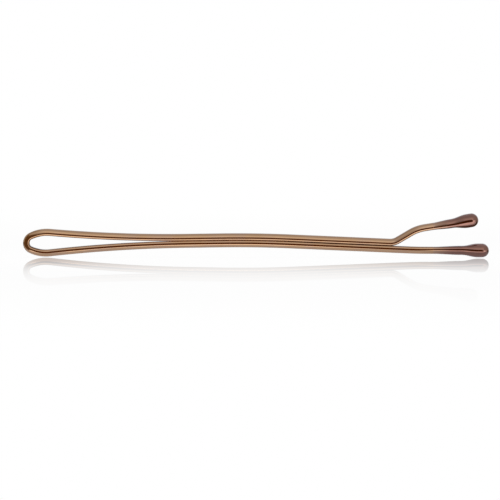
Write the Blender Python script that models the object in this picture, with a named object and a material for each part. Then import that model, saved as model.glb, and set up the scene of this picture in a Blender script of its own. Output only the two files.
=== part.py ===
"""Straight hair grip: one sprung wire bent double, with a resin bead dipped on each end.

X runs from the closed loop to the free ends, Z is up and Y is the wire's width. The grip
stands on the belly of its loop and on the bead of its lower prong. The wire is divided
where it flexes, so each moving stretch hangs from an empty on its bending axis.
"""

import math

import bmesh
import bpy
from mathutils import Vector

MM = 0.001

OVERALL_LENGTH = 65.0 * MM  # from the loop's outer edge to the end of the lower bead
UPPER_SETBACK = 1.5 * MM  # the upper bead ends this much sooner

# Half-round wire: the domed side faces out and the flatter side grips
WIRE_THICKNESS = 0.95 * MM
WIRE_WIDTH = 1.5 * MM
CROWN_FLAT = 0.6 * MM  # flat strip along the top of the dome
GRIP_FLAT = 0.9 * MM  # flat of the gripping side
WIDEST_SHARE = 0.36  # of the thickness, from the gripping side up to the widest line
NOSE_THICKNESS = 0.86 * MM  # the wire is drawn thinner where it is bent double
NOSE_TAPER = 2.0 * MM  # from the loop's outer edge to where the wire has its full thickness

# Loop, symmetrical about the grip line
LOOP_HEIGHT = 3.87 * MM  # over the wire, where the loop is widest
LOOP_WIDEST_X = 3.25 * MM
NOSE_ROUND_SHARE = 0.72  # of the loop's half height, taken by the nose before the shoulder
GRIP_START_X = 23.0 * MM  # where the prongs meet

# Grip line, along which the prongs press on each other, with one soft bend
BOW_X = 32.5 * MM
BOW_HEIGHT = 2.38 * MM
BOW_LENGTH = 10.0 * MM
KICK_HEIGHT = 1.58 * MM  # where the upper prong kicks up

# Mouth: the upper prong kicks up while the lower one runs out level
MOUTH_LENGTH = 13.25 * MM  # from the kick to the end of the lower bead
KICK_RUN = 3.22 * MM
KICK_ANGLE = math.radians(30.6)
KICK_BEND_RADIUS = 2.0 * MM
TIP_ANGLE = math.radians(9.0)
TIP_BEND_RADIUS = 5.5 * MM
LEVEL_BEND_RADIUS = 60.0 * MM

# Resin tips: a dipped film that grows into a bead
DIP_LENGTH = 8.1 * MM  # both prongs were dipped this deep, measured from the lower bead's end
DIP_FILM = 0.05 * MM
NECK_FILM = 0.14 * MM
BEAD_SWELL = 0.215 * MM  # how far the bead stands out past the wire's edges
BEAD_BARREL = 0.6 * MM  # straight stretch at the bead's full size
BEAD_NECK = 2.3 * MM  # from the film up to the bead's full size
BEAD_COVER = 0.9 * MM  # resin past the wire's end

# Clearances
PRONG_GAP = 0.03 * MM
FLEX_GAP = 0.03 * MM
RESIN_GAP = 0.02 * MM

# Places where the upper prong bends, besides the nose
MIDDLE_FLEX_X = 16.0 * MM
END_FLEX_X = 35.0 * MM

# Fineness of the facets
CROWN_STEPS = 4
CORNER_STEPS = 3
NOSE_STEPS = 12
SHOULDER_STEPS = 6
CLOSING_STEPS = 10
BOW_STEPS = 5
BEND_STEPS = 6
NECK_STEPS = 5
DOME_STEPS = 5

NOSE_X = NOSE_THICKNESS / 2
HALF_PITCH = (WIRE_THICKNESS + PRONG_GAP) / 2  # grip line to the middle of either prong
KICK_X = OVERALL_LENGTH - MOUTH_LENGTH
KICK_END_X = KICK_X + KICK_RUN
DIP_X = OVERALL_LENGTH - DIP_LENGTH
BEAD_RADIUS = WIRE_WIDTH / 2 + BEAD_SWELL
SMALLEST_STEP = WIRE_THICKNESS / 10

BRONZE = (0.36, 0.22, 0.13, 1.0)
BROWN_RESIN = (0.12, 0.045, 0.03, 1.0)


def smooth(share):
    share = min(max(share, 0.0), 1.0)
    return share * share * (3 - 2 * share)


def grip_line(x):
    """Height of the line between the prongs: a rise, one soft bend, then a fall."""
    rise = (BOW_HEIGHT - LOOP_HEIGHT / 2) / (BOW_X - LOOP_WIDEST_X)
    fall = (KICK_HEIGHT - BOW_HEIGHT) / (KICK_X - BOW_X)
    past = x - (BOW_X - BOW_LENGTH / 2)
    turned = min(max(past, 0.0), BOW_LENGTH)
    drop = turned * turned / (2 * BOW_LENGTH) + max(past - BOW_LENGTH, 0.0)
    return BOW_HEIGHT + rise * (x - BOW_X) + (fall - rise) * drop


def arc(centre, radius, start, end, steps):
    """Points on a circle from one angle to another, both ends included."""
    angles = [start + (end - start) * i / steps for i in range(steps + 1)]
    return [centre + radius * Vector((math.cos(a), math.sin(a))) for a in angles]


def rounded(before, corner, after, radius):
    """Points of the bend that replaces a corner."""
    back = (before - corner).normalized()
    on = (after - corner).normalized()
    half_turn = (math.pi - back.angle(on)) / 2
    reach = radius * math.tan(half_turn)
    centre = corner + (back + on).normalized() * (radius / math.cos(half_turn))
    first = corner + back * reach - centre
    last = corner + on * reach - centre
    start = math.atan2(first.y, first.x)
    return arc(centre, radius, start, start + last.angle_signed(first), BEND_STEPS)


def loop_half():
    """Middle of the wire from the nose to where the prongs meet, as (x, height off the grip line).

    Three arcs touch one another: the nose, the shoulder over the widest place and the
    long closing arc that brings the prong down onto the other one.
    """
    half_height = (LOOP_HEIGHT - WIRE_THICKNESS) / 2
    nose_radius = NOSE_ROUND_SHARE * (half_height - FLEX_GAP / 2)
    nose = Vector((NOSE_X + nose_radius, FLEX_GAP / 2))
    across = LOOP_WIDEST_X - nose.x
    above = half_height - nose.y
    shoulder_radius = (across**2 + above**2 - nose_radius**2) / (2 * (above - nose_radius))
    shoulder = Vector((LOOP_WIDEST_X, half_height - shoulder_radius))
    across = GRIP_START_X - LOOP_WIDEST_X
    above = HALF_PITCH - shoulder.y
    spare = shoulder_radius - above
    closing_radius = (across**2 + above**2 - shoulder_radius**2) / (2 * spare)
    closing = Vector((GRIP_START_X, HALF_PITCH + closing_radius))

    onto_shoulder = nose - shoulder
    onto_closing = closing - shoulder
    first = math.atan2(onto_shoulder.y, onto_shoulder.x)
    last = math.atan2(onto_closing.y, onto_closing.x)
    points = arc(nose, nose_radius, math.pi, first, NOSE_STEPS)
    points += arc(shoulder, shoulder_radius, first, last, SHOULDER_STEPS)[1:]
    points += arc(closing, closing_radius, last - math.pi, -math.pi / 2, CLOSING_STEPS)[1:]
    return points


def pressed_half(side):
    """One prong from the nose to the end of its bow. side is 1 above the grip line, -1 below."""
    points = [Vector((p.x, grip_line(p.x) + side * p.y)) for p in loop_half()]
    start = BOW_X - BOW_LENGTH / 2
    bow = [start + BOW_LENGTH * i / BOW_STEPS for i in range(BOW_STEPS + 1)]
    past_loop = [x for x in bow if x > GRIP_START_X + SMALLEST_STEP]
    return points + [Vector((x, grip_line(x) + side * HALF_PITCH)) for x in past_loop]


def upper_path():
    """Middle of the wire along the upper prong, on to the end of its bead."""
    points = pressed_half(1)
    kick = Vector((KICK_X, grip_line(KICK_X) + HALF_PITCH))
    crest = kick + Vector((KICK_RUN, KICK_RUN * math.tan(KICK_ANGLE)))
    run = OVERALL_LENGTH - UPPER_SETBACK - crest.x
    end = crest + Vector((run, run * math.tan(TIP_ANGLE)))
    points += rounded(points[-1], kick, crest, KICK_BEND_RADIUS)
    points += rounded(kick, crest, end, TIP_BEND_RADIUS)
    return [*points, end]


def lower_path():
    """Middle of the wire along the lower prong, on to the end of its bead, which it rests on."""
    points = pressed_half(-1)
    kick = Vector((KICK_X, grip_line(KICK_X) - HALF_PITCH))
    level = Vector((KICK_END_X, BEAD_RADIUS))
    end = Vector((OVERALL_LENGTH, BEAD_RADIUS))
    return [*points, kick, *rounded(kick, level, end, LEVEL_BEND_RADIUS), end]


def on_path(points, x):
    """The point of a path at a given x, and the direction of the path there."""
    for first, second in zip(points, points[1:]):
        if first.x <= x <= second.x and second.x > first.x:
            step = second - first
            return first + step * ((x - first.x) / step.x), step.normalized()
    raise ValueError("the path doesn't reach that place")


def between(points, start_x, end_x):
    """The part of a path from one x to another, cut square to it at both ends."""
    inside = [p for p in points if start_x + SMALLEST_STEP < p.x < end_x - SMALLEST_STEP]
    return [on_path(points, start_x)[0], *inside, on_path(points, end_x)[0]]


def from_nose(points, end_x):
    """The part of a path from the nose to one x."""
    inside = [p for p in points if p.x < end_x - SMALLEST_STEP]
    return [*inside, on_path(points, end_x)[0]]


def without_cover(points):
    """A path shortened to where the wire ends inside its bead."""
    last_step = points[-1] - points[-2]
    return [*points[:-1], points[-1] - last_step.normalized() * BEAD_COVER]


def at_distance(points, distance):
    """The place a distance along a path. Both end runs go on past the path's ends."""
    for first, second in zip(points, points[1:]):
        step = second - first
        if distance <= step.length or second is points[-1]:
            return first + step.normalized() * distance
        distance -= step.length


def frame_at(points, distance):
    """The place a distance along a path and its direction, which at a bend halves the turn."""
    before = at_distance(points, distance - SMALLEST_STEP / 10)
    after = at_distance(points, distance + SMALLEST_STEP / 10)
    return (before + after) / 2, (after - before).normalized()


def section(grow=0.0):
    """Outline of the wire as (across the width, towards the domed side), grown all round."""
    half_width = WIRE_WIDTH / 2 + grow
    top = WIRE_THICKNESS / 2 + grow
    bottom = -top
    widest = WIRE_THICKNESS * (WIDEST_SHARE - 1 / 2)
    crown = CROWN_FLAT / 2
    grip = GRIP_FLAT / 2
    right = []
    for i in range(CROWN_STEPS + 1):
        angle = math.pi / 2 * i / CROWN_STEPS
        across = crown + (half_width - crown) * math.sin(angle)
        right.append(Vector((across, widest + (top - widest) * math.cos(angle))))
    for i in range(1, CORNER_STEPS + 1):
        angle = math.pi / 2 * i / CORNER_STEPS
        across = grip + (half_width - grip) * math.cos(angle)
        right.append(Vector((across, widest + (bottom - widest) * math.sin(angle))))
    left = [Vector((-p.x, p.y)) for p in reversed(right)]
    return right + left


def bead_section():
    """Round outline with as many points as the wire's, and a facet where the crown's flat is."""
    count = len(section())
    corner_radius = BEAD_RADIUS / math.cos(math.pi / count)
    angles = [2 * math.pi * (i + 1 / 2) / count for i in range(count)]
    return [corner_radius * Vector((math.sin(a), math.cos(a))) for a in angles]


def finish(obj, colour, metallic, roughness):
    material = bpy.data.materials.new(obj.name + "_finish")
    material.use_nodes = True
    shader = material.node_tree.nodes["Principled BSDF"]
    shader.inputs["Base Color"].default_value = colour
    shader.inputs["Metallic"].default_value = metallic
    shader.inputs["Roughness"].default_value = roughness
    obj.data.materials.append(material)


def place_of(empty):
    """An empty's place measured from the loop's outer edge, at the surface."""
    place = Vector()
    while empty.parent:
        place += empty.location
        empty = empty.parent
    return place


def add_empty(name, place, parent, parts):
    """An empty at (x, z) measured from the loop's outer edge."""
    empty = bpy.data.objects.new(name, None)
    empty.empty_display_size = LOOP_HEIGHT
    empty.parent = parent
    empty.location = Vector((place.x, 0.0, place.y)) - place_of(parent)
    parts.objects.link(empty)
    return empty


def hang(obj, parent, parts):
    """Parents an object, whose geometry is measured from the loop's outer edge, to an empty."""
    obj.parent = parent
    obj.location = -place_of(parent)
    parts.objects.link(obj)


def crown_point(points, x):
    """Where the wire's domed side lies over one place of the upper prong's path."""
    middle, way = on_path(points, x)
    return middle + Vector((-way.y, way.x)) * (WIRE_THICKNESS / 2)


def poly_curve(name, places, cyclic):
    """A flat curve object through (x, y) places."""
    data = bpy.data.curves.new(name, "CURVE")
    data.dimensions = "2D"
    spline = data.splines.new("POLY")
    spline.points.add(len(places) - 1)
    for point, place in zip(spline.points, places):
        point.co = (place.x, place.y, 0.0, 1.0)
    spline.use_cyclic_u = cyclic
    spline.use_smooth = True
    return bpy.data.objects.new(name, data)


def section_guide(guides):
    """The outline swept along each stretch, with its domed side to the left of the way."""
    guide = poly_curve("wire_section", [Vector((-p.y, p.x)) for p in section()], True)
    guide.hide_render = True
    guide.display_type = "WIRE"
    guides.objects.link(guide)
    return guide


def wire_stretch(name, points, guide, parent, parts):
    """One length of wire swept along a path, drawn thinner towards the nose."""
    obj = poly_curve(name, points, False)
    obj.data.bevel_mode = "OBJECT"
    obj.data.bevel_object = guide
    obj.data.use_fill_caps = True
    nose_share = NOSE_THICKNESS / WIRE_THICKNESS
    for point in obj.data.splines[0].points:
        point.radius = nose_share + (1 - nose_share) * smooth(point.co.x / NOSE_TAPER)
    obj.rotation_euler.x = math.pi / 2
    hang(obj, parent, parts)
    finish(obj, BRONZE, 0.9, 0.3)


def resin_outlines(bends, length):
    """Outlines of a resin tip from its mouth to its end, as (distance along the wire, outline).

    The film has the wire's own section, and the neck turns it into the bead's round one.
    """
    bead = bead_section()
    neck = section(RESIN_GAP + NECK_FILM)
    barrel_end = length - BEAD_RADIUS
    neck_end = barrel_end - BEAD_BARREL
    neck_start = neck_end - BEAD_NECK
    outlines = []
    for distance in (0.0, *bends):
        if distance < neck_start:
            film = DIP_FILM + (NECK_FILM - DIP_FILM) * distance / neck_start
            outlines.append((distance, section(RESIN_GAP + film)))
    for i in range(NECK_STEPS + 1):
        share = i / NECK_STEPS
        outline = [a.lerp(b, smooth(share)) for a, b in zip(neck, bead)]
        outlines.append((neck_start + BEAD_NECK * share, outline))
    for i in range(DOME_STEPS):
        angle = math.pi / 2 * i / DOME_STEPS
        distance = barrel_end + BEAD_RADIUS * math.sin(angle)
        outlines.append((distance, [p * math.cos(angle) for p in bead]))
    return outlines


def resin_tip(name, path, side, parent, parts):
    """A dipped film and its bead, with a blind socket round the wire's end.

    path runs from the film's mouth to the bead's end. side is 1 where the wire's domed
    side is to the left of the way, and -1 where it is to the right.
    """
    reaches = [0.0]
    for first, second in zip(path, path[1:]):
        reaches.append(reaches[-1] + (second - first).length)
    bends, length = reaches[1:-1], reaches[-1]
    tip = bmesh.new()

    def ring(distance, outline):
        middle, way = frame_at(path, distance)
        out = Vector((-way.y, way.x)) * side
        places = [(middle + out * p.y, p.x) for p in outline]
        return [tip.verts.new((place.x, across, place.y)) for place, across in places]

    def join(rings):
        for first, second in zip(rings, rings[1:]):
            for i, _ in enumerate(first):
                tip.faces.new((first[i - 1], first[i], second[i], second[i - 1]))

    outside = [ring(distance, outline) for distance, outline in resin_outlines(bends, length)]
    socket_depth = length - BEAD_COVER + RESIN_GAP
    socket = [socket_depth, *(d for d in reversed(bends) if d < socket_depth), 0.0]
    inside = [ring(distance, section(RESIN_GAP)) for distance in socket]
    join(inside + outside)
    tip.faces.new(inside[0])
    pole = tip.verts.new((path[-1].x, 0.0, path[-1].y))
    for i, _ in enumerate(outside[-1]):
        tip.faces.new((outside[-1][i - 1], outside[-1][i], pole))
    bmesh.ops.recalc_face_normals(tip, faces=tip.faces)
    mesh = bpy.data.meshes.new(name)
    tip.to_mesh(mesh)
    tip.free()
    mesh.shade_smooth()
    mesh.set_sharp_from_angle(angle=math.radians(40))
    obj = bpy.data.objects.new(name, mesh)
    hang(obj, parent, parts)
    finish(obj, BROWN_RESIN, 0.0, 0.15)


def build():
    for obj in list(bpy.data.objects):
        bpy.data.objects.remove(obj, do_unlink=True)
    parts = bpy.data.collections.new("hair_grip")
    guides = bpy.data.collections.new("hair_grip_guides")
    bpy.context.scene.collection.children.link(parts)
    bpy.context.scene.collection.children.link(guides)
    guide = section_guide(guides)

    upper = upper_path()
    lower = lower_path()
    upper_wire = without_cover(upper)
    lower_wire = without_cover(lower)

    frame = bpy.data.objects.new("grip_frame", None)
    frame.location.x = -OVERALL_LENGTH / 2
    parts.objects.link(frame)
    nose = add_empty("nose_flex", Vector((0.0, grip_line(NOSE_X))), frame, parts)
    middle = add_empty("middle_flex", crown_point(upper, MIDDLE_FLEX_X), nose, parts)
    end = add_empty("end_flex", crown_point(upper, END_FLEX_X), middle, parts)

    # The lower prong is swept from its tip to the nose, which keeps its domed side out.
    wire_stretch("lower_prong", lower_wire[::-1], guide, frame, parts)
    half_gap = FLEX_GAP / 2
    loop = from_nose(upper_wire, MIDDLE_FLEX_X - half_gap)
    pressed = between(upper_wire, MIDDLE_FLEX_X + half_gap, END_FLEX_X - half_gap)
    kicked = between(upper_wire, END_FLEX_X + half_gap, upper_wire[-1].x)
    wire_stretch("upper_prong_loop", loop, guide, nose, parts)
    wire_stretch("upper_prong_middle", pressed, guide, middle, parts)
    wire_stretch("upper_prong_end", kicked, guide, end, parts)

    resin_tip("lower_resin_tip", between(lower, DIP_X, lower[-1].x), -1, frame, parts)
    resin_tip("upper_resin_tip", between(upper, DIP_X, upper[-1].x), 1, end, parts)


build()
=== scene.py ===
"""Looks of the hair grip: smooth bronze-lacquered wire, resin tips, polished table and studio.

Lengths are in metres, in the same frame as the CAD part: X runs from the loop to the free ends,
Z is up and Y is the wire's width.
"""

import math

import bmesh
import bpy
import numpy as np
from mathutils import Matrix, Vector

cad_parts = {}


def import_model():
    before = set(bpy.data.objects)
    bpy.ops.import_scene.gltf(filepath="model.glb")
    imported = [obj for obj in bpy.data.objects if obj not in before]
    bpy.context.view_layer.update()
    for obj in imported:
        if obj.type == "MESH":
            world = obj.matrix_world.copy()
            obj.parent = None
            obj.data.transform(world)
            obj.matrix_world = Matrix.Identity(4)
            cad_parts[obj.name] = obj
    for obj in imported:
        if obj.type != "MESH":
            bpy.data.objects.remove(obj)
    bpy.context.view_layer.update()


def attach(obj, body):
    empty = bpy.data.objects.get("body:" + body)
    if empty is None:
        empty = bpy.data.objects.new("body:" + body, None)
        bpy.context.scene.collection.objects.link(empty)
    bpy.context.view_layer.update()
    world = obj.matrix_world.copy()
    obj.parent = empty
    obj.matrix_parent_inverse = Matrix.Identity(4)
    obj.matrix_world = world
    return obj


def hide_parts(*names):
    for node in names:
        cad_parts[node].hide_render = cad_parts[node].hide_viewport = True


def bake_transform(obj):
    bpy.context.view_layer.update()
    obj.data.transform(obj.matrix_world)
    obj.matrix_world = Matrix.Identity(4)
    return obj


MM = 0.001

# Sizes of the wire and the tips, named as in the part's source
OVERALL_LENGTH = 65.0 * MM
UPPER_SETBACK = 1.5 * MM
WIRE_THICKNESS = 0.95 * MM
WIRE_WIDTH = 1.5 * MM
CROWN_FLAT = 0.6 * MM
GRIP_FLAT = 1.0 * MM  # the solids have 0.9
WIDEST_SHARE = 0.31  # the solids have 0.36
NOSE_THICKNESS = 0.86 * MM
NOSE_TAPER = 2.0 * MM
LOOP_HEIGHT = 3.87 * MM
LOOP_WIDEST_X = 3.25 * MM
NOSE_ROUND_SHARE = 0.72
GRIP_START_X = 23.0 * MM
BOW_X = 32.5 * MM
BOW_HEIGHT = 2.38 * MM
BOW_LENGTH = 10.0 * MM
KICK_HEIGHT = 1.58 * MM
MOUTH_LENGTH = 13.25 * MM
KICK_RUN = 3.22 * MM
KICK_ANGLE = math.radians(30.6)
KICK_BEND_RADIUS = 2.0 * MM
TIP_ANGLE = math.radians(9.0)
TIP_BEND_RADIUS = 5.5 * MM
LEVEL_BEND_RADIUS = 60.0 * MM
DIP_LENGTH = 8.1 * MM
NECK_FILM = 0.14 * MM
BEAD_SWELL = 0.215 * MM
BEAD_BARREL = 0.6 * MM
BEAD_NECK = 2.3 * MM
BEAD_COVER = 0.9 * MM
PRONG_GAP = 0.03 * MM
FLEX_GAP = 0.03 * MM
RESIN_GAP = 0.02 * MM

NOSE_X = NOSE_THICKNESS / 2
HALF_PITCH = (WIRE_THICKNESS + PRONG_GAP) / 2
KICK_X = OVERALL_LENGTH - MOUTH_LENGTH
KICK_END_X = KICK_X + KICK_RUN
DIP_X = OVERALL_LENGTH - DIP_LENGTH
BEAD_RADIUS = WIRE_WIDTH / 2 + BEAD_SWELL

# Forms that the solids don't have
PRESS = 0.016 * MM  # each gripping side stands this much nearer the other prong
FILM_EDGE = -0.008 * MM  # the film starts under the wire's surface, so it has no lip
MOUTH_STEP = 0.001 * MM  # between the film's lip and its first ring outside
MOUTH_FLARE = 0.4 * MM  # how deep in its mouth the film's inside starts to flare

# Where one piece of the wire ends and the next begins
NOSE_PIECE_X = 8.0 * MM
FIRST_PIECE_X = 25.0 * MM
SECOND_PIECE_X = 45.0 * MM

# Fineness of the meshes
STRAIGHT_STEP = 0.5 * MM  # longest step between two rings
BEND_STEP = math.radians(4.0)  # most turn between two rings
CUT_CLEARANCE = 0.05 * MM  # no ring stands nearer to the end of a piece
SAME_PLACE = 1e-7  # points of a path that are nearer than this are one
PARALLEL = 1e-15  # no crossing is sought where two lines' cross product is less
CORNER_SLACK = 1e-6  # how far past an edge's ends a crossing still counts, as a share of the edge
FLAT_STEPS = 3
CROWN_STEPS = 14
CORNER_STEPS = 10
TIP_SIDES = 96
SOCKET_RINGS = 16
FILM_RINGS = 18
NECK_STEPS = 22
BEAD_RINGS = 16

# Lacquer: its tones, and its noises, as scale, detail and roughness. Streaks and hairlines are
# stretched along the wire. A SPAN is where a noise starts to count and where it counts in full.
BRONZE_DEEP = (0.58, 0.350, 0.195, 1)
BRONZE_PALE = (0.70, 0.445, 0.270, 1)
BRONZE_PATCH = (0.60, 0.385, 0.270, 1)
BRONZE_SPECK = (0.78, 0.56, 0.38, 1)
# Dark brown of the painted shade on the wire's inner sides, between the prongs and in the nose
BRONZE_PAINTED_SHADE = (0.19, 0.070, 0.012, 1)
STREAK_STRETCH = (0.25, 9.0, 1.0)
STREAK_NOISE = (1.0, 4.0, 0.6)
STREAK_SPAN = (0.32, 0.68)
STREAK_HEIGHT = 0.7
HAIRLINE_STRETCH = (0.8, 42.0, 1.0)
HAIRLINE_NOISE = (1.0, 2.0, 0.5)
HAIRLINE_HEIGHT = 0.3
PATCH_NOISE = (420.0, 3.0, 0.55)
PATCH_SPAN = (0.4, 0.7)
PATCH_SHARE = 0.55
SPECK_NOISE = (5200.0, 2.0, 0.5)
SPECK_SPAN = (0.70, 0.80)
SPECK_SHARE = 0.35
BRONZE_ROUGHNESS = (0.3, 0.7, 0.05, 0.10)  # from this noise to this, from this roughness to this
PATCH_ROUGHNESS = 0.03  # that the patches add
PATCH_ROUGH_SPAN = (0.35, 0.75)
BRONZE_BUMP = (0.2, 0.002 * MM)  # strength and distance
BRONZE_COAT = {"Coat Weight": 0.1, "Coat Roughness": 0.06}

# Painted shade: the wire's inner side is darkened where the prongs press on each other and
# inside the nose, in place of the shade that falls between them. Each stretch is given by where it
# begins and ends, in millimetres past the nose, and each edge by where the dark has ended and
# where it is whole, past the gripping flat.
UPPER_PAINTED_SHADE = ((18.0, 31.0), (57.5, 54.5))
LOWER_PAINTED_SHADE = ((-18.0, -31.0), (-54.5, -50.0))
NOSE_PAINTED_SHADE = (3.4, 2.0)
PRESS_EDGE = (0.22, 0.11)
NOSE_EDGE = (0.36, 0.20)
NARROWER_NEAR_NOSE = (34.0, 42.0, 0.08, 0.0)  # from here to here, from this much to this much
PAINTED_SHADE_DEPTH = (0.35, 0.65, 0.72, 0.95)  # from this relief to this, from this depth to this

# Resin: its tones and noises, and over which millimetres from the film's mouth it comes to hide
# the lacquer
RESIN_DEEP = (0.25, 0.090, 0.054, 1)
RESIN_PALE = (0.31, 0.120, 0.074, 1)
CLOUD_NOISE = (900.0, 3.0, 0.5)
CLOUD_SPAN = (0.35, 0.7)
RIPPLE_NOISE = (2600.0, 2.0, 0.5)
THICKENING = (-1.2, 3.4)
EDGE_WANDER = (0.3, 0.7, -0.3, 0.3)  # from this noise to this, from this many millimetres to this
RESIN_ROUGHNESS = (0.3, 0.7, 0.05, 0.09)
RESIN_BUMP = (0.25, 0.01 * MM)
RESIN_COAT = {"Coat Weight": 1.0, "Coat IOR": 1.8, "Coat Roughness": 0.05}

# Camera
CAMERA_RISE = math.radians(3.0)
CAMERA_DISTANCE = 0.6
CAMERA_ROLL = math.radians(0.113)
SENSOR = 36.0
PIXEL = 0.1396 * MM
FRAME_PIXELS = 500
AIM_X = -0.84 * MM
AIM_Z = 0.96 * MM

# What the metal mirrors of the studio, by degrees from straight in front of the grip: up through
# 90 above it to 180 behind, and down through -90 below it. A dim brown room, pale strips over and
# under it, and a pale top.
TURN = (-180, 180)
LEVEL_SCALE = 2.0  # the brightest that a ramp can hold
ROOM = (0.12, 0.040, 0.006)
UNDER = (0.26, 0.20, 0.13)
STUDIO_LEVELS = (
    (-180, UNDER),
    (-74, (0.55, 0.55, 0.55)),
    (-60, (1.10, 1.10, 1.10)),
    (-48, (1.60, 1.60, 1.60)),
    (-30, (1.60, 1.60, 1.60)),
    (-27, ROOM),
    (12, ROOM),
    (16, (0.90, 0.90, 0.87)),
    (22, (0.80, 0.80, 0.80)),
    (32, (0.74, 0.74, 0.73)),
    (40, (0.62, 0.62, 0.60)),
    (52, (0.48, 0.48, 0.48)),
    (66, (0.50, 0.50, 0.51)),
    (85, (0.50, 0.51, 0.55)),
    (180, (0.58, 0.60, 0.64)),
)
# To the left of the grip, by how far a direction leans to the left for its height
LEFT_LEVELS = (
    (-180, (0.20, 0.14, 0.08)),
    (0, (0.12, 0.06, 0.02)),
    (62, (0.16, 0.09, 0.03)),
    (80, (0.42, 0.42, 0.40)),
    (180, (0.48, 0.48, 0.46)),
)
LEFT_LEAN = (0.6, 0.9)
LEFT_TOP = (0.42, 0.42, 0.42, 1)
LEFT_TOP_LEAN = (0.15, 0.45)
LEFT_TOP_RISE = (0.1, 0.2)
LEAST_RISE = 0.05
# To the right of the grip and a little behind it
RIGHT_WALL = (0.42, 0.38, 0.34, 1)
RIGHT_REACH = (0.5, 0.8)
RIGHT_DEPTH = (-0.3, 0.15)
PLAIN_LIGHT = (0.9, 0.9, 0.9, 1)  # what the studio sheds on plain surfaces
WHITE = (1.0, 1.0, 1.0, 1)

# Table: the mirror's share, how it fades away from the grip, and its own white
HALF_TABLE = 1.5
TABLE_Z = -0.09 * MM  # the photo's mirror image stands this much lower than a touching one
TABLE_IOR = 1.42
MIRROR_SHARE = 0.82
MIRROR_REACH = 0.022
MIRROR_FALL = 2.6
TABLE_GREY = (0.86, 0.86, 0.86, 1)
TABLE_WHITE = (0.04, 0.16, 0.92, 1.0)  # from here to here, white from this share to this
# What the metal mirrors of the table near the grip, by millimetres across it, and how far the
# table covers the studio below it there: shade round the grip and dim behind it
SHADE = (0.56, 0.58, 0.64)
BACK_SHADE = (0.10, 0.07, 0.04)
TABLE_SPAN = (-10.0, 15.0)
TABLE_LEVELS = (
    (-3.2, SHADE, 0.0),
    (-2.2, SHADE, 1.0),
    (0.7, SHADE, 1.0),
    (1.1, BACK_SHADE, 1.0),
    (9.0, BACK_SHADE, 1.0),
    (14.0, BACK_SHADE, 0.0),
)
# The same by the resin tips
TIP_LEVELS = (
    (-4.4, (1.30, 1.30, 1.30), 0.0),
    (-3.8, (1.30, 1.30, 1.30), 1.0),
    (-2.7, (1.30, 1.30, 1.30), 1.0),
    (-2.1, (0.44, 0.44, 0.48), 1.0),
    (0.2, (0.42, 0.42, 0.46), 1.0),
    (0.8, (0.12, 0.08, 0.05), 1.0),
    (9.0, BACK_SHADE, 1.0),
    (14.0, BACK_SHADE, 0.0),
)
TIPS_X = (22.0 * MM, 26.0 * MM)
LOOP_X = (-26.0 * MM, -20.0 * MM)
LOOP_SHARE = 1.5  # the loop's low arm keeps the shade this much closer to it

# Lamp
LAMP_PLACE = (0.0, -0.50, 0.45)
LAMP_SIZE = (0.9, 0.40)
LAMP_LEVEL = 0.12  # its brightness where 1 is white

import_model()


# Paths in the plane of the grip, as (x, height)


def smooth(share):
    share = min(max(share, 0.0), 1.0)
    return share * share * (3 - 2 * share)


def grip_line(x):
    """Height of the line between the prongs."""
    rise = (BOW_HEIGHT - LOOP_HEIGHT / 2) / (BOW_X - LOOP_WIDEST_X)
    fall = (KICK_HEIGHT - BOW_HEIGHT) / (KICK_X - BOW_X)
    past = x - (BOW_X - BOW_LENGTH / 2)
    turned = min(max(past, 0.0), BOW_LENGTH)
    drop = turned * turned / (2 * BOW_LENGTH) + max(past - BOW_LENGTH, 0.0)
    return BOW_HEIGHT + rise * (x - BOW_X) + (fall - rise) * drop


def arc(centre, radius, start, end):
    steps = max(2, math.ceil(abs(end - start) / BEND_STEP))
    steps = max(steps, math.ceil(abs(end - start) * radius / STRAIGHT_STEP))
    angles = [start + (end - start) * i / steps for i in range(steps + 1)]
    return [centre + radius * Vector((math.cos(a), math.sin(a))) for a in angles]


def rounded(before, corner, after, radius):
    """An arc that rounds the corner between two straight lines."""
    back = (before - corner).normalized()
    on = (after - corner).normalized()
    half_turn = (math.pi - back.angle(on)) / 2
    centre = corner + (back + on).normalized() * (radius / math.cos(half_turn))
    reach = radius * math.tan(half_turn)
    first = corner + back * reach - centre
    last = corner + on * reach - centre
    start = math.atan2(first.y, first.x)
    return arc(centre, radius, start, start + last.angle_signed(first))


def loop_half():
    """The wire from the nose to where the prongs meet, as (x, height off the grip line)."""
    half_height = (LOOP_HEIGHT - WIRE_THICKNESS) / 2
    nose_radius = NOSE_ROUND_SHARE * (half_height - FLEX_GAP / 2)
    nose = Vector((NOSE_X + nose_radius, FLEX_GAP / 2))
    across = LOOP_WIDEST_X - nose.x
    above = half_height - nose.y
    shoulder_radius = (across**2 + above**2 - nose_radius**2) / (2 * (above - nose_radius))
    shoulder = Vector((LOOP_WIDEST_X, half_height - shoulder_radius))
    across = GRIP_START_X - LOOP_WIDEST_X
    above = HALF_PITCH - shoulder.y
    spare = shoulder_radius - above
    closing_radius = (across**2 + above**2 - shoulder_radius**2) / (2 * spare)
    closing = Vector((GRIP_START_X, HALF_PITCH + closing_radius))
    onto_shoulder = nose - shoulder
    onto_closing = closing - shoulder
    first = math.atan2(onto_shoulder.y, onto_shoulder.x)
    last = math.atan2(onto_closing.y, onto_closing.x)
    points = arc(nose, nose_radius, math.pi, first)
    points += arc(shoulder, shoulder_radius, first, last)[1:]
    points += arc(closing, closing_radius, last - math.pi, -math.pi / 2)[1:]
    return points


def run(start, end):
    """Points along a straight line, without its first."""
    steps = max(1, math.ceil((end - start).length / STRAIGHT_STEP))
    return [start.lerp(end, (i + 1) / steps) for i in range(steps)]


def pressed_half(side):
    """One prong from the nose to the kick. side is 1 for the upper prong and -1 for the lower."""
    points = [Vector((p.x, grip_line(p.x) + side * p.y)) for p in loop_half()]
    steps = math.ceil((KICK_X - GRIP_START_X) / STRAIGHT_STEP)
    for i in range(1, steps + 1):
        x = GRIP_START_X + (KICK_X - GRIP_START_X) * i / steps
        points.append(Vector((x, grip_line(x) + side * HALF_PITCH)))
    return points


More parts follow.
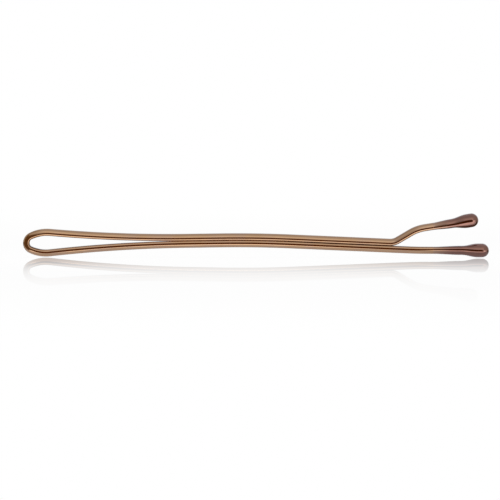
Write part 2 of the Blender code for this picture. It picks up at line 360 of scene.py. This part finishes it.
def upper_path():
    points = pressed_half(1)
    kick = points[-1]
    crest = kick + Vector((KICK_RUN, KICK_RUN * math.tan(KICK_ANGLE)))
    way = OVERALL_LENGTH - UPPER_SETBACK - crest.x
    end = crest + Vector((way, way * math.tan(TIP_ANGLE)))
    bend = rounded(points[-2], kick, crest, KICK_BEND_RADIUS)
    points = [p for p in points if p.x < bend[0].x - STRAIGHT_STEP / 4] + bend
    crest_bend = rounded(kick, crest, end, TIP_BEND_RADIUS)
    points += run(points[-1], crest_bend[0]) + crest_bend[1:]
    return points + run(points[-1], end)


def lower_path():
    points = pressed_half(-1)
    kick = points[-1]
    level = Vector((KICK_END_X, BEAD_RADIUS))
    end = Vector((OVERALL_LENGTH, BEAD_RADIUS))
    bend = rounded(kick, level, end, LEVEL_BEND_RADIUS)
    points += run(kick, bend[0]) + bend[1:]
    return points + run(points[-1], end)


class Way:
    """A path with the distance along it."""

    def __init__(self, points):
        self.points = [points[0]]
        for p in points[1:]:
            if (p - self.points[-1]).length > SAME_PLACE:
                self.points.append(p)
        self.reach = [0.0]
        for a, b in zip(self.points, self.points[1:]):
            self.reach.append(self.reach[-1] + (b - a).length)
        self.length = self.reach[-1]
        last = len(self.points) - 1
        self.directions = []
        for i in range(last + 1):
            before, after = self.points[max(i - 1, 0)], self.points[min(i + 1, last)]
            self.directions.append((after - before).normalized())

    def between(self, s, vectors):
        x = np.interp(s, self.reach, [v.x for v in vectors])
        return Vector((x, np.interp(s, self.reach, [v.y for v in vectors])))

    def at(self, s):
        return self.between(s, self.points)

    def direction(self, s):
        return self.between(s, self.directions).normalized()

    def stations(self, start, end):
        """Distances of the path's points from start to end, with both."""
        inside = [s for s in self.reach if start + CUT_CLEARANCE < s < end - CUT_CLEARANCE]
        return [start, *inside, end]

    def part(self, start, end):
        """The path between two distances, forwards or backwards."""
        points = [self.at(s) for s in self.stations(min(start, end), max(start, end))]
        return Way(points if end > start else points[::-1])


# Sections, as (across the width, towards the domed side), clockwise from the crown


def section(grow=0.0):
    """Outline of the wire."""
    half_width = WIRE_WIDTH / 2 + grow
    top = WIRE_THICKNESS / 2 + grow
    bottom = -top - PRESS
    widest = WIRE_THICKNESS * (WIDEST_SHARE - 1 / 2)
    crown = CROWN_FLAT / 2
    grip = GRIP_FLAT / 2
    right = [Vector((crown * i / FLAT_STEPS, top)) for i in range(FLAT_STEPS)]
    for i in range(CROWN_STEPS + 1):
        a = math.pi / 2 * i / CROWN_STEPS
        across = crown + (half_width - crown) * math.sin(a)
        right.append(Vector((across, widest + (top - widest) * math.cos(a))))
    for i in range(1, CORNER_STEPS + 1):
        a = math.pi / 2 * i / CORNER_STEPS
        across = grip + (half_width - grip) * math.cos(a)
        right.append(Vector((across, widest + (bottom - widest) * math.sin(a))))
    right += [Vector((grip * (1 - i / FLAT_STEPS), bottom)) for i in range(1, FLAT_STEPS + 1)]
    left = [Vector((-p.x, p.y)) for p in reversed(right[1:-1])]
    return right + left


def polar(outline, count):
    """An outline's points in evenly spaced directions."""
    places = []
    ring = outline + outline[:1]
    for i in range(count):
        a = 2 * math.pi * i / count
        way = Vector((math.sin(a), math.cos(a)))
        best = None
        for p, q in zip(ring, ring[1:]):
            edge = q - p
            cross = way.x * edge.y - way.y * edge.x
            if abs(cross) < PARALLEL:
                continue
            t = (p.x * edge.y - p.y * edge.x) / cross
            u = (p.x * way.y - p.y * way.x) / cross
            on_edge = -CORNER_SLACK <= u <= 1 + CORNER_SLACK
            if t > 0 and on_edge and (best is None or t > best):
                best = t
        places.append(way * best)
    return places


def round_places(outline):
    """Distance round an outline at each of its points and back at the first, in millimetres."""
    places = [0.0]
    for a, b in zip(outline, outline[1:] + outline[:1]):
        places.append(places[-1] + (b - a).length / MM)
    return places


# Meshes


def world(place, across=0.0):
    return Vector((place.x - OVERALL_LENGTH / 2, across, place.y))


def ring_at(place, direction, outline, scale=1.0, side=1):
    """An outline round a place. side is -1 on a path that runs against the whole wire's."""
    out = Vector((-direction.y, direction.x)) * side
    return [world(place + out * p.y * scale, p.x * scale) for p in outline]


def skin(name, rings, alongs, rounds, material, pole=None):
    """A closed mesh through rings of points, which ends in a flat face or at a pole.

    alongs gives each ring's place along the wire and rounds each point's place round it.
    """
    mesh = bmesh.new()
    layer = mesh.loops.layers.uv.new("Wire")
    loops = [[mesh.verts.new(p) for p in ring] for ring in rings]
    count = len(rings[0])
    for k, (first, second) in enumerate(zip(loops, loops[1:])):
        for i in range(count):
            j = (i + 1) % count
            face = mesh.faces.new((first[i], second[i], second[j], first[j]))
            face.smooth = True
            places = (
                (alongs[k], rounds[i]),
                (alongs[k + 1], rounds[i]),
                (alongs[k + 1], rounds[i + 1]),
                (alongs[k], rounds[i + 1]),
            )
            for corner, place in zip(face.loops, places):
                corner[layer].uv = place
    rims = [mesh.faces.new(loops[0])]
    if pole is None:
        rims.append(mesh.faces.new(loops[-1]))
    else:
        tip = mesh.verts.new(pole)
        for i in range(count):
            face = mesh.faces.new((loops[-1][i], tip, loops[-1][(i + 1) % count]))
            face.smooth = True
            for corner, v in zip(face.loops, (rounds[i], rounds[i], rounds[i + 1])):
                corner[layer].uv = (alongs[-1], v)
    for face in rims:
        for edge in face.edges:
            edge.smooth = False
    bmesh.ops.recalc_face_normals(mesh, faces=mesh.faces)
    data = bpy.data.meshes.new(name)
    mesh.to_mesh(data)
    mesh.free()
    data.materials.append(material)
    obj = bpy.data.objects.new(name, data)
    bpy.context.scene.collection.objects.link(obj)
    return obj


def wire_piece(name, start, end, material):
    """One length of wire between two distances along the whole wire."""
    stations = wire.stations(start, end)
    outline = section()
    nose_share = NOSE_THICKNESS / WIRE_THICKNESS
    rings = []
    for s in stations:
        place = wire.at(s)
        scale = nose_share + (1 - nose_share) * smooth(place.x / NOSE_TAPER)
        rings.append(ring_at(place, wire.direction(s), outline, scale))
    return skin(name, rings, [s / MM for s in stations], round_places(outline), material)


def resin_piece(name, way, side, material):
    """A dipped film that grows into a bead, round the wire's end."""
    barrel_end = way.length - BEAD_RADIUS
    neck_end = barrel_end - BEAD_BARREL
    neck_start = neck_end - BEAD_NECK
    angles = [2 * math.pi * i / TIP_SIDES for i in range(TIP_SIDES)]
    circle = [BEAD_RADIUS * Vector((math.sin(a), math.cos(a))) for a in angles]
    rings, alongs = [], []

    def film(grow):
        return polar(section(grow), TIP_SIDES)

    def add(s, outline, scale=1.0):
        rings.append(ring_at(way.at(s), way.direction(s), outline, scale, side))
        alongs.append(s / MM)

    # Inside: a blind socket, from its bottom back to the mouth
    socket_depth = way.length - BEAD_COVER + RESIN_GAP
    inner = film(RESIN_GAP / 4)
    for i in range(SOCKET_RINGS):
        add(socket_depth + (MOUTH_FLARE - socket_depth) * i / (SOCKET_RINGS - 1), inner)
    add(0.0, film(2 * FILM_EDGE))
    # Outside: the film, the neck, the barrel and the bead's round end
    for i in range(FILM_RINGS):
        s = neck_start * i / FILM_RINGS
        share = smooth(s / neck_start)
        add(max(s, MOUTH_STEP), film(FILM_EDGE + (NECK_FILM - FILM_EDGE) * share))
    neck = film(NECK_FILM)
    for i in range(NECK_STEPS + 1):
        share = smooth(i / NECK_STEPS)
        outline = [a.lerp(b, share) for a, b in zip(neck, circle)]
        add(neck_start + BEAD_NECK * i / NECK_STEPS, outline)
    add(neck_end + BEAD_BARREL / 2, circle)
    for i in range(BEAD_RINGS):
        a = math.pi / 2 * i / BEAD_RINGS
        add(barrel_end + BEAD_RADIUS * math.sin(a), circle, math.cos(a))
    rounds = [i / TIP_SIDES * 2 * math.pi * BEAD_RADIUS / MM for i in range(TIP_SIDES + 1)]
    return skin(name, rings, alongs, rounds, material, pole=world(way.at(way.length)))


# Materials


class Nodes:
    """Short hand for a material's or a world's node tree."""

    def __init__(self, owner):
        owner.use_nodes = True
        self.tree = owner.node_tree
        self.tree.nodes.clear()

    def new(self, kind, inputs=None, **settings):
        node = self.tree.nodes.new(kind)
        for key, value in settings.items():
            setattr(node, key, value)
        for key, value in (inputs or {}).items():
            socket = node.inputs[key]
            if isinstance(value, bpy.types.NodeSocket):
                self.tree.links.new(value, socket)
            else:
                socket.default_value = value
        return node

    def maths(self, operation, a, b=0.0):
        return self.new("ShaderNodeMath", {0: a, 1: b}, operation=operation).outputs[0]

    def mix(self, share, a, b):
        return self.new("ShaderNodeMix", {0: share, 6: a, 7: b}, data_type="RGBA").outputs[2]

    def mix_values(self, share, a, b):
        return self.new("ShaderNodeMix", {0: share, 2: a, 3: b}, data_type="FLOAT").outputs[0]

    def mix_shaders(self, share, a, b):
        return self.new("ShaderNodeMixShader", {0: share, 1: a, 2: b}).outputs[0]

    def glow(self, colour):
        return self.new("ShaderNodeEmission", {"Color": colour, "Strength": 1.0}).outputs[0]

    def split(self, vector):
        return self.new("ShaderNodeSeparateXYZ", {0: vector}).outputs

    def span(self, value, low, high, to_low=0.0, to_high=1.0, kind="SMOOTHSTEP"):
        """A value's share of the way from low to high, from to_low to to_high."""
        inputs = {"Value": value, "From Min": low, "From Max": high}
        inputs |= {"To Min": to_low, "To Max": to_high}
        return self.new("ShaderNodeMapRange", inputs, interpolation_type=kind).outputs[0]

    def levels(self, value, levels, span):
        """Brightness and cover at a value, from rows of (value, brightness, cover)."""
        low, high = span
        node = self.new("ShaderNodeValToRGB", {0: self.span(value, low, high, kind="LINEAR")})
        stops = node.color_ramp.elements
        while len(stops) < len(levels):
            stops.new(0.5)
        for stop, (place, parts, *cover) in zip(stops, levels):
            stop.position = (place - low) / (high - low)
            stop.color = [part / LEVEL_SCALE for part in parts] + (cover or [1.0])
        colour, cover = node.outputs
        inputs = {0: colour, "Scale": LEVEL_SCALE}
        scaled = self.new("ShaderNodeVectorMath", inputs, operation="SCALE")
        return scaled.outputs[0], cover

    def noise(self, vector, scale, detail, roughness):
        inputs = {"Vector": vector, "Scale": scale, "Detail": detail, "Roughness": roughness}
        return self.new("ShaderNodeTexNoise", inputs).outputs["Fac"]

    def stretched(self, vector, scale):
        return self.new("ShaderNodeMapping", {"Vector": vector, "Scale": scale}).outputs["Vector"]


def lacquer(n, uv, place):
    """Tone, roughness and relief of the bronze lacquer, drawn out along the wire."""
    streaks = n.noise(n.stretched(uv, STREAK_STRETCH), *STREAK_NOISE)
    hairlines = n.noise(n.stretched(uv, HAIRLINE_STRETCH), *HAIRLINE_NOISE)
    patches = n.noise(place, *PATCH_NOISE)
    specks = n.noise(place, *SPECK_NOISE)
    tone = n.mix(n.span(streaks, *STREAK_SPAN), BRONZE_DEEP, BRONZE_PALE)
    patched = n.maths("MULTIPLY", n.span(patches, *PATCH_SPAN), PATCH_SHARE)
    tone = n.mix(patched, tone, BRONZE_PATCH)
    worn = n.maths("MULTIPLY", n.span(specks, *SPECK_SPAN), SPECK_SHARE)
    tone = n.mix(worn, tone, BRONZE_SPECK)
    rough_patches = n.maths("MULTIPLY", n.span(patches, *PATCH_ROUGH_SPAN), PATCH_ROUGHNESS)
    rough = n.maths("ADD", n.span(hairlines, *BRONZE_ROUGHNESS, "LINEAR"), rough_patches)
    streaks_height = n.maths("MULTIPLY", streaks, STREAK_HEIGHT)
    hairlines_height = n.maths("MULTIPLY", hairlines, HAIRLINE_HEIGHT)
    return tone, rough, n.maths("ADD", streaks_height, hairlines_height)


def painted_contact_shade(n, uv, height):
    """How far the wire's inner side is darkened with painted shade, between the prongs and in the
    nose.
    """
    along, around, _ = n.split(uv)
    past_nose = n.maths("SUBTRACT", along, nose_reach / MM)

    def stretch(begin, end):
        return n.maths("MULTIPLY", n.span(past_nose, *begin), n.span(past_nose, *end))

    upper, lower = stretch(*UPPER_PAINTED_SHADE), stretch(*LOWER_PAINTED_SHADE)
    off_nose = n.maths("ABSOLUTE", past_nose)
    half_round = round_places(section())[-1] / 2
    from_grip = n.maths("ABSOLUTE", n.maths("SUBTRACT", around, half_round))
    from_grip = n.maths("SUBTRACT", from_grip, GRIP_FLAT / MM / 2)
    narrower = n.maths("ADD", from_grip, n.span(off_nose, *NARROWER_NEAR_NOSE))
    pressed = n.maths("MAXIMUM", upper, lower)
    pressed = n.maths("MULTIPLY", pressed, n.span(narrower, *PRESS_EDGE))
    bent = n.maths("MULTIPLY", n.span(off_nose, *NOSE_PAINTED_SHADE), n.span(from_grip, *NOSE_EDGE))
    depth = n.span(height, *PAINTED_SHADE_DEPTH, "LINEAR")
    return n.maths("MULTIPLY", n.maths("MAXIMUM", pressed, bent), depth)


def finish_material(n, tone, rough, height, bump, coat):
    """A metallic surface under a clear coat."""
    inputs = {"Strength": bump[0], "Distance": bump[1], "Height": height}
    normal = n.new("ShaderNodeBump", inputs).outputs["Normal"]
    inputs = {"Base Color": tone, "Metallic": 1.0, "Roughness": rough, "Normal": normal}
    shader = n.new("ShaderNodeBsdfPrincipled", {**inputs, **coat})
    n.new("ShaderNodeOutputMaterial", {"Surface": shader.outputs[0]})


def bronze_lacquer():
    material = bpy.data.materials.new("bronze_lacquer_look")
    n = Nodes(material)
    uv = n.new("ShaderNodeUVMap", uv_map="Wire").outputs["UV"]
    place = n.new("ShaderNodeTexCoord").outputs["Object"]
    tone, rough, height = lacquer(n, uv, place)
    # Painted shade: the inner sides between the pressed prongs and inside the nose are darkened
    tone = n.mix(painted_contact_shade(n, uv, height), tone, BRONZE_PAINTED_SHADE)
    finish_material(n, tone, rough, height, BRONZE_BUMP, BRONZE_COAT)
    return material


def brown_resin():
    """The resin's brown, which shows the lacquer through where its film is thin."""
    material = bpy.data.materials.new("brown_resin_look")
    n = Nodes(material)
    uv = n.new("ShaderNodeUVMap", uv_map="Wire").outputs["UV"]
    along = n.split(uv)[0]
    place = n.new("ShaderNodeTexCoord").outputs["Object"]
    clouds = n.noise(place, *CLOUD_NOISE)
    ripple = n.noise(place, *RIPPLE_NOISE)
    bare, bare_rough, _ = lacquer(n, uv, place)
    wander = n.span(clouds, *EDGE_WANDER, "LINEAR")
    thick = n.span(n.maths("ADD", along, wander), *THICKENING)
    tone = n.mix(n.span(clouds, *CLOUD_SPAN), RESIN_DEEP, RESIN_PALE)
    tone = n.mix(thick, bare, tone)
    rough = n.span(ripple, *RESIN_ROUGHNESS, "LINEAR")
    rough = n.mix_values(thick, bare_rough, rough)
    finish_material(n, tone, rough, ripple, RESIN_BUMP, RESIN_COAT)
    return material


# Pieces

wire = Way(lower_path()[::-1] + upper_path())
nose_at = min(range(len(wire.points)), key=lambda i: wire.points[i].x)
nose_reach = wire.reach[nose_at]
bronze = bronze_lacquer()
resin = brown_resin()


def reach_at(x, upper):
    """Distance along the whole wire to a place on the upper or the lower prong."""
    low, high = (nose_at, len(wire.points)) if upper else (0, nose_at + 1)
    pairs = sorted((wire.points[i].x, wire.reach[i]) for i in range(low, high))
    return float(np.interp(x, [p[0] for p in pairs], [p[1] for p in pairs]))


wire_cuts = {
    "wire_lower_prong": (BEAD_COVER, reach_at(NOSE_PIECE_X, False)),
    "wire_nose": (reach_at(NOSE_PIECE_X, False), reach_at(NOSE_PIECE_X, True)),
    "wire_loop_arm": (reach_at(NOSE_PIECE_X, True), reach_at(FIRST_PIECE_X, True)),
    "wire_pressed_arm": (reach_at(FIRST_PIECE_X, True), reach_at(SECOND_PIECE_X, True)),
    "wire_kicked_end": (reach_at(SECOND_PIECE_X, True), wire.length - BEAD_COVER),
}
tip_ways = {
    "resin_upper_tip": (wire.part(reach_at(DIP_X, True), wire.length), 1),
    "resin_lower_tip": (wire.part(reach_at(DIP_X, False), 0.0), -1),
}
pieces = {name: wire_piece(name, *cut, bronze) for name, cut in wire_cuts.items()}
pieces |= {name: resin_piece(name, *way, resin) for name, way in tip_ways.items()}

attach(pieces["wire_lower_prong"], "lower_prong")
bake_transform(pieces["wire_nose"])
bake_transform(pieces["wire_loop_arm"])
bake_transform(pieces["wire_pressed_arm"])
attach(pieces["wire_kicked_end"], "kicked_end")
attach(pieces["resin_upper_tip"], "kicked_end")
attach(pieces["resin_lower_tip"], "lower_prong")

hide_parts("lower_prong")
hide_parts("lower_prong", "upper_prong_loop")
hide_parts("upper_prong_loop", "upper_prong_middle")
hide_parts("upper_prong_middle", "upper_prong_end")
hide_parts("upper_prong_end")
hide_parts("upper_resin_tip")
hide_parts("lower_resin_tip")


# Stage


def white_table():
    """A polished white table, whose mirror is strongest at a grazing view and near the grip."""
    material = bpy.data.materials.new("white_table")
    n = Nodes(material)
    place = n.new("ShaderNodeTexCoord").outputs["Object"]
    off = n.split(place)
    path = n.new("ShaderNodeLightPath").outputs
    away = n.maths("DIVIDE", n.maths("ABSOLUTE", off["Y"]), MIRROR_REACH)
    far = n.maths("POWER", away, MIRROR_FALL)
    fade = n.maths("DIVIDE", MIRROR_SHARE, n.maths("ADD", far, 1.0))
    fresnel = n.new("ShaderNodeFresnel", {"IOR": TABLE_IOR}).outputs[0]
    mirror = n.maths("MULTIPLY", fade, fresnel)

    # What the camera sees: the table's own white and its mirror
    plain = n.new("ShaderNodeBsdfDiffuse", {"Color": TABLE_GREY}).outputs[0]
    white = n.glow(WHITE)
    distance = n.new("ShaderNodeVectorMath", {0: place}, operation="LENGTH").outputs["Value"]
    shown = n.mix_shaders(n.span(distance, *TABLE_WHITE), plain, white)
    shown = n.mix_shaders(path["Is Camera Ray"], plain, shown)
    gloss = n.new("ShaderNodeBsdfGlossy", {"Color": WHITE, "Roughness": 0.0}).outputs[0]
    seen = n.mix_shaders(mirror, shown, gloss)

    # What the metal mirrors: shade near the grip, and the studio below the table past it
    across = n.maths("DIVIDE", off["Y"], MM)
    by_loop = n.maths("MULTIPLY", across, n.span(off["X"], *LOOP_X, LOOP_SHARE, 1.0))
    near, near_cover = n.levels(by_loop, TABLE_LEVELS, TABLE_SPAN)
    tips, tips_cover = n.levels(across, TIP_LEVELS, TABLE_SPAN)
    by_tips = n.span(off["X"], *TIPS_X)
    shade = n.glow(n.mix(by_tips, near, tips))
    cover = n.mix_values(by_tips, near_cover, tips_cover)
    clear = n.new("ShaderNodeBsdfTransparent").outputs[0]
    mirrored = n.mix_shaders(cover, clear, shade)
    surface = n.mix_shaders(path["Is Glossy Ray"], seen, mirrored)
    n.new("ShaderNodeOutputMaterial", {"Surface": surface})
    return material


table_mesh = bpy.data.meshes.new("table_top")
corners = [(x * HALF_TABLE, y * HALF_TABLE, 0) for x, y in ((-1, -1), (1, -1), (1, 1), (-1, 1))]
table_mesh.from_pydata(corners, [], [(0, 1, 2, 3)])
table = bpy.data.objects.new("table_top", table_mesh)
table.location.z = TABLE_Z
bpy.context.scene.collection.objects.link(table)
table_mesh.materials.append(white_table())


def studio_world():
    """White behind the grip, and levels by height all round it for what the metal mirrors."""
    studio = bpy.data.worlds.new("studio")
    bpy.context.scene.world = studio
    n = Nodes(studio)
    way = n.split(n.new("ShaderNodeTexCoord").outputs["Generated"])
    path = n.new("ShaderNodeLightPath").outputs

    from_front = n.maths("ARCCOSINE", n.maths("MULTIPLY", way["Y"], -1.0))
    turned = n.maths("MULTIPLY", from_front, n.maths("SIGN", way["Z"]))
    turned = n.maths("MULTIPLY", turned, 180 / math.pi)
    leftward = n.maths("MULTIPLY", way["X"], -1.0)
    rise = n.maths("MAXIMUM", n.maths("ABSOLUTE", way["Z"]), LEAST_RISE)
    lean = n.maths("DIVIDE", leftward, rise)

    levels = n.levels(turned, STUDIO_LEVELS, TURN)[0]
    above = n.span(way["Z"], *LEFT_TOP_RISE)
    left_top = n.maths("MULTIPLY", n.span(lean, *LEFT_TOP_LEAN), above)
    levels = n.mix(left_top, levels, LEFT_TOP)
    left_levels = n.levels(turned, LEFT_LEVELS, TURN)[0]
    levels = n.mix(n.span(lean, *LEFT_LEAN), levels, left_levels)
    behind = n.span(way["Y"], *RIGHT_DEPTH)
    right = n.maths("MULTIPLY", n.span(way["X"], *RIGHT_REACH), behind)
    levels = n.mix(right, levels, RIGHT_WALL)

    levels = n.mix(path["Is Glossy Ray"], PLAIN_LIGHT, levels)
    shown = n.maths("MAXIMUM", path["Is Camera Ray"], path["Is Singular Ray"])
    colour = n.mix(shown, levels, WHITE)
    background = n.new("ShaderNodeBackground", {"Color": colour, "Strength": 1.0})
    n.new("ShaderNodeOutputWorld", {"Surface": background.outputs[0]})


studio_world()

lamp = bpy.data.lights.new("front_soft_box", "AREA")
lamp.shape = "RECTANGLE"
lamp.size, lamp.size_y = LAMP_SIZE
lamp.energy = LAMP_LEVEL * math.pi * LAMP_SIZE[0] * LAMP_SIZE[1]
soft_box = bpy.data.objects.new("front_soft_box", lamp)
soft_box.location = LAMP_PLACE
soft_box.rotation_euler = (-Vector(LAMP_PLACE)).to_track_quat("-Z", "Y").to_euler()
bpy.context.scene.collection.objects.link(soft_box)

camera_data = bpy.data.cameras.new("camera")
camera_data.sensor_width = SENSOR
camera_data.lens = SENSOR * CAMERA_DISTANCE / (PIXEL * FRAME_PIXELS)
camera_data.clip_end = 10.0
camera_data.clip_start = 0.01
camera = bpy.data.objects.new("camera", camera_data)
bpy.context.scene.collection.objects.link(camera)
back = Vector((0.0, -math.cos(CAMERA_RISE), math.sin(CAMERA_RISE)))
camera.location = Vector((AIM_X, 0.0, AIM_Z)) + back * CAMERA_DISTANCE
camera.rotation_euler = (-back).to_track_quat("-Z", "Y").to_euler()
camera.rotation_euler.rotate_axis("Z", CAMERA_ROLL)
bpy.context.scene.camera = camera

bpy.context.scene.view_settings.view_transform = "Standard"
